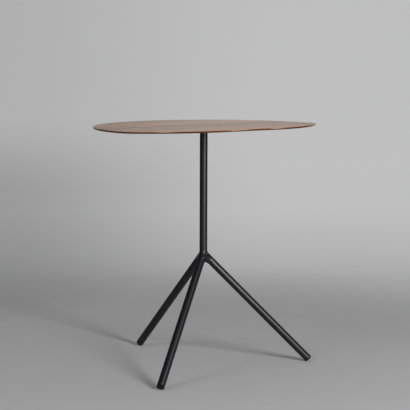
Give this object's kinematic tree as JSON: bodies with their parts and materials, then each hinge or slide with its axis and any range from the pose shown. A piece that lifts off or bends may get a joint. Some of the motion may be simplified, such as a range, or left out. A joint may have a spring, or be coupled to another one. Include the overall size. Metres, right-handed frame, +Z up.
{
  "type": "wine table",
  "caption": "Small side table with a thin walnut top, rounded with one gently dished side, on a slim black steel column that splits into splayed tube legs.",
  "frame": {"origin": "on the column's axis, at floor level between the feet", "axes": "+Z up; -Y towards the dished side of the top; +Y along the back leg; X = 0 is the mirror plane"},
  "size_m": [0.5, 0.3775, 0.5],
  "materials": {
    "walnut": "satin lacquered walnut",
    "powder_coat": "satin black powder coat",
    "plug_plastic": "matt black",
    "plated_steel": "zinc plated",
    "insert_brass": "turned"
  },
  "bodies": {
    "root": {"top_board_front": "walnut", "top_board_mid_front": "walnut", "top_board_mid_back": "walnut", "top_board_back": "walnut", "top_plate": "powder_coat", "plate_weld": "powder_coat", "column_tube": "powder_coat", "hub_weld": "powder_coat", "leg_back": "powder_coat", "leg_left": "powder_coat", "leg_right": "powder_coat", "foot_plug_back": "plug_plastic", "foot_plug_left": "plug_plastic", "foot_plug_right": "plug_plastic", "plate_screws": "plated_steel", "threaded_inserts": "insert_brass"}
  },
  "joints": []
}
